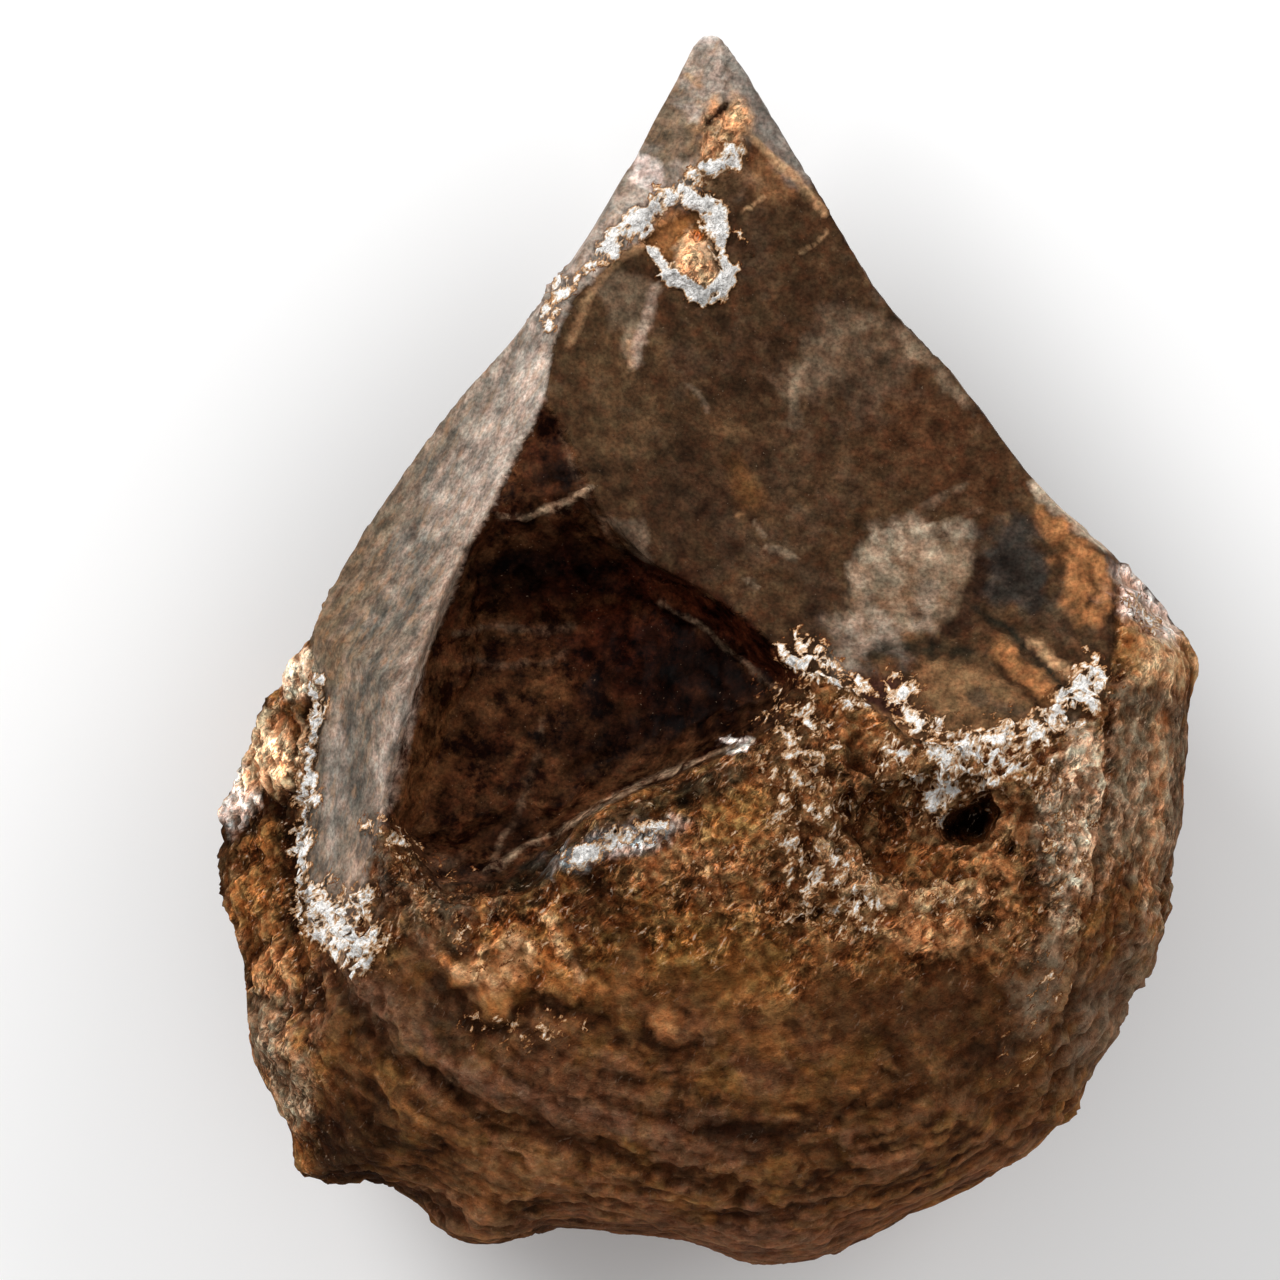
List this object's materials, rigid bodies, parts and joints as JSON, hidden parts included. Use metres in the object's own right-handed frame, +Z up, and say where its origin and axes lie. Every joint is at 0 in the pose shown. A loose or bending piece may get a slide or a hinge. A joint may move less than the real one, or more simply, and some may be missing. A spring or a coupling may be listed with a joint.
{
  "type": "stone chopper",
  "caption": "Knapped stone chopper lying on its back: a cobble flaked to a point at one end, with the rough rounded rind kept on its butt.",
  "frame": {"origin": "on the ground, under the middle of the stone's plan outline", "axes": "+Y from the butt to the point, +Z up out of the worked face, +X to the right seen from above with the point away"},
  "size_m": [0.056, 0.0709, 0.0297],
  "materials": {
    "flint": "brown mottled flint, semi-gloss on the flake scars, rough ochre rind and white crust on the butt"
  },
  "bodies": {
    "root": {"chopper": "flint"}
  },
  "joints": []
}
